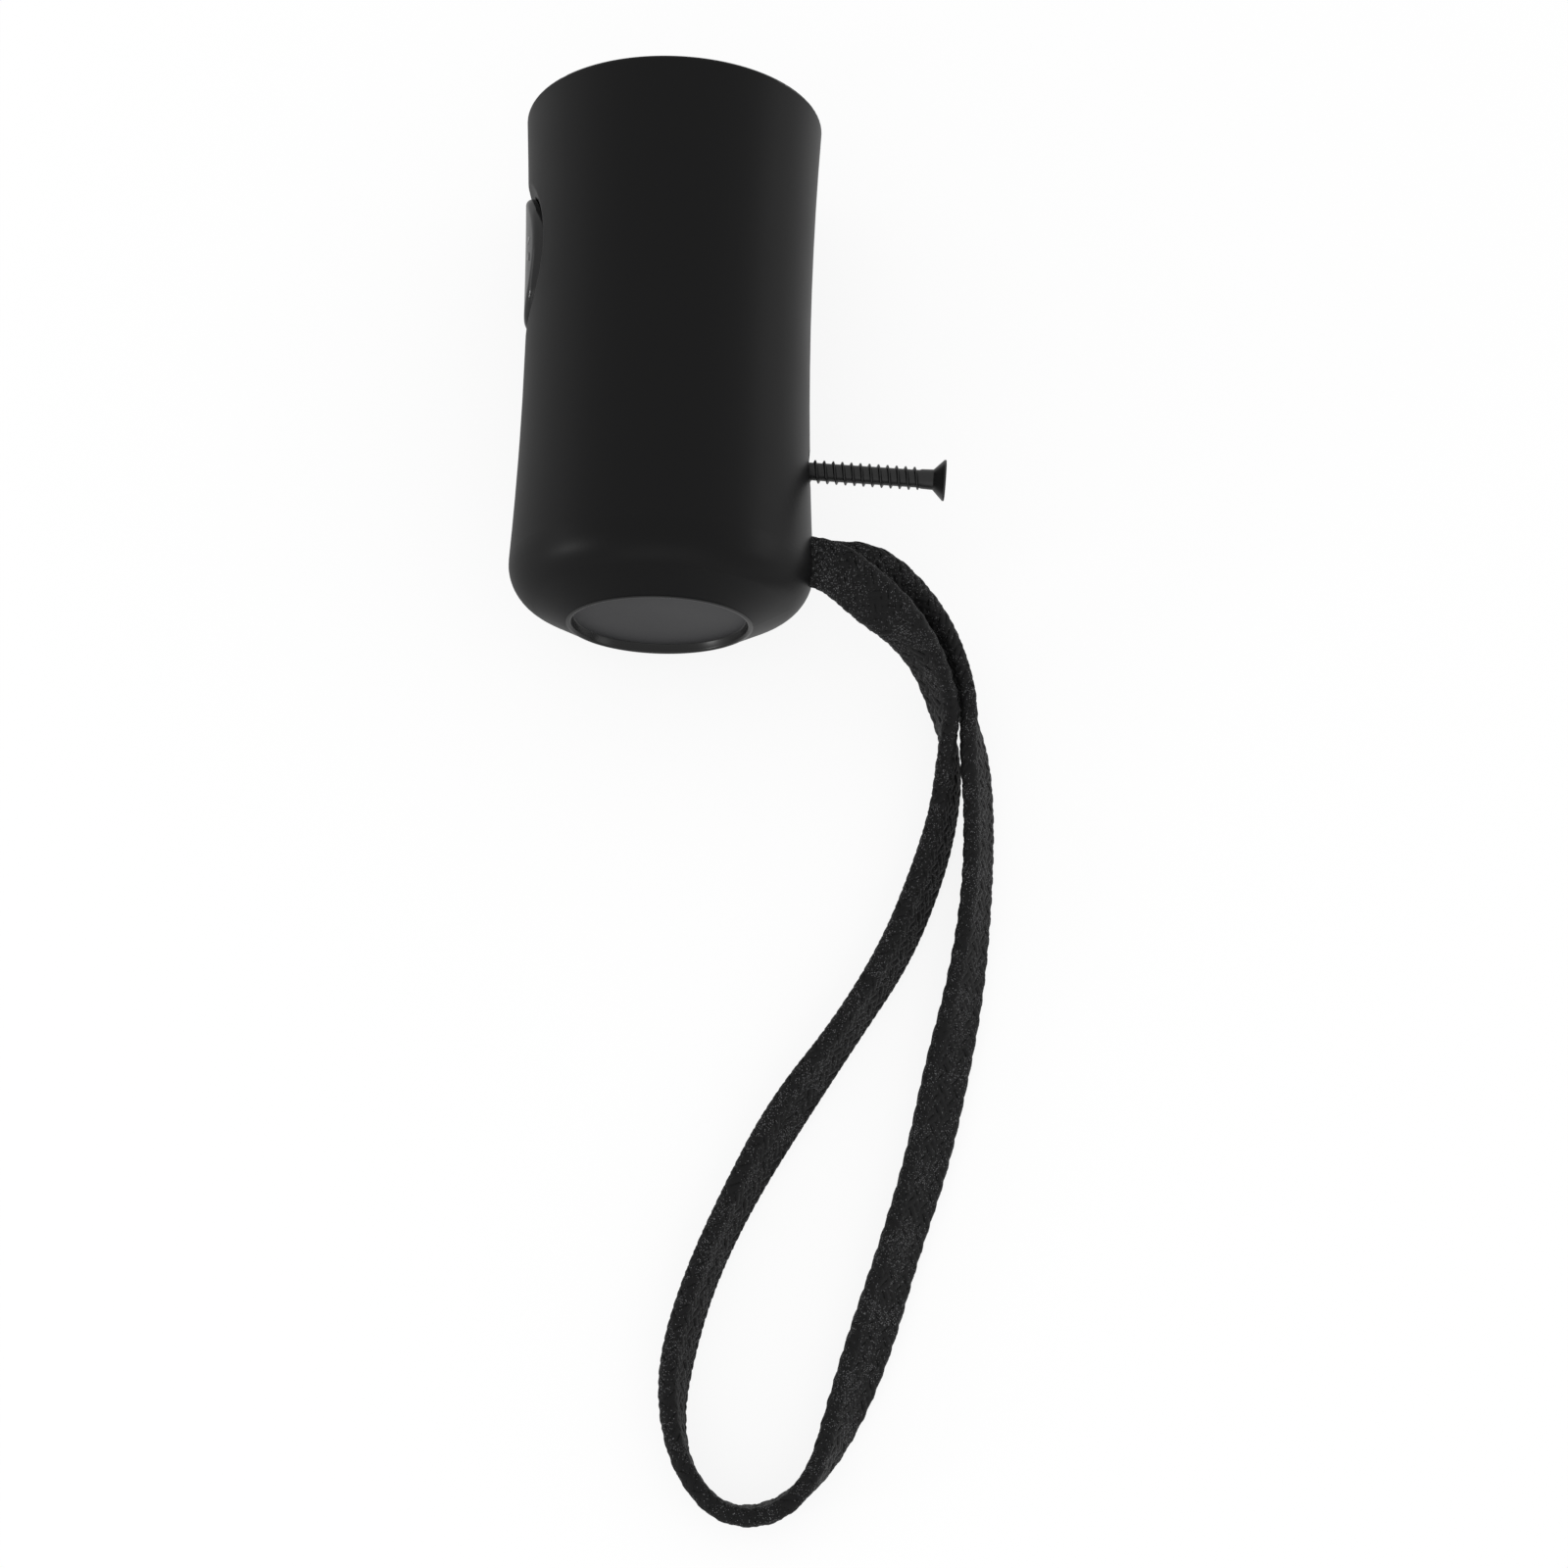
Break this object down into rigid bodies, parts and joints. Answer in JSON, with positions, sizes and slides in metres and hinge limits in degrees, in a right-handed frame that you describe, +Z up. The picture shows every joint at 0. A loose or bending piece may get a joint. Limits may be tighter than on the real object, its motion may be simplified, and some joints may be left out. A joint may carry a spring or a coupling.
{
  "type": "umbrella grip",
  "caption": "Replacement grip for a folding automatic umbrella: waisted black moulding with a shaft socket, a push button in a thumb scoop, a fixing screw and a braided wrist strap.",
  "frame": {"origin": "centre of the shaft socket's mouth, inside the cup", "axes": "+Y out of the socket along the shaft, +X towards the side with the screw and the strap (the button is on -X), +Z up as the grip lies on a table"},
  "size_m": [0.0724, 0.207, 0.0448],
  "materials": {
    "shell_plastic": "soft matte black, faintly grained",
    "core_plastic": "plain moulded black",
    "button_plastic": "smooth satin black",
    "spring_wire": "bright drawn wire",
    "black_steel": "black oxide, satin",
    "cap_plastic": "dark grey, matte",
    "crimp_steel": "folded sheet, dull",
    "strap_braid": "flat polyester braid"
  },
  "bodies": {
    "grip": {"grip_shell": "shell_plastic", "socket_core": "core_plastic", "strap_crimp": "crimp_steel", "end_cap": "cap_plastic", "wrist_strap": "strap_braid", "button_spring": "spring_wire"},
    "button": {"push_button": "button_plastic"},
    "screw": {"shaft_screw": "black_steel"}
  },
  "joints": [
    {"name": "button_press", "type": "slide", "parent": "grip", "child": "button", "axis": [1, 0, 0], "range_m": [0, 0.002], "stiffness_N_per_m": 600, "springref_m": -0.002, "deforming": ["button_spring"]},
    {"name": "screw_drive", "type": "slide", "parent": "grip", "child": "screw", "axis": [-0.9986, 0.0523, 0], "range_m": [0, 0.0203]}
  ]
}
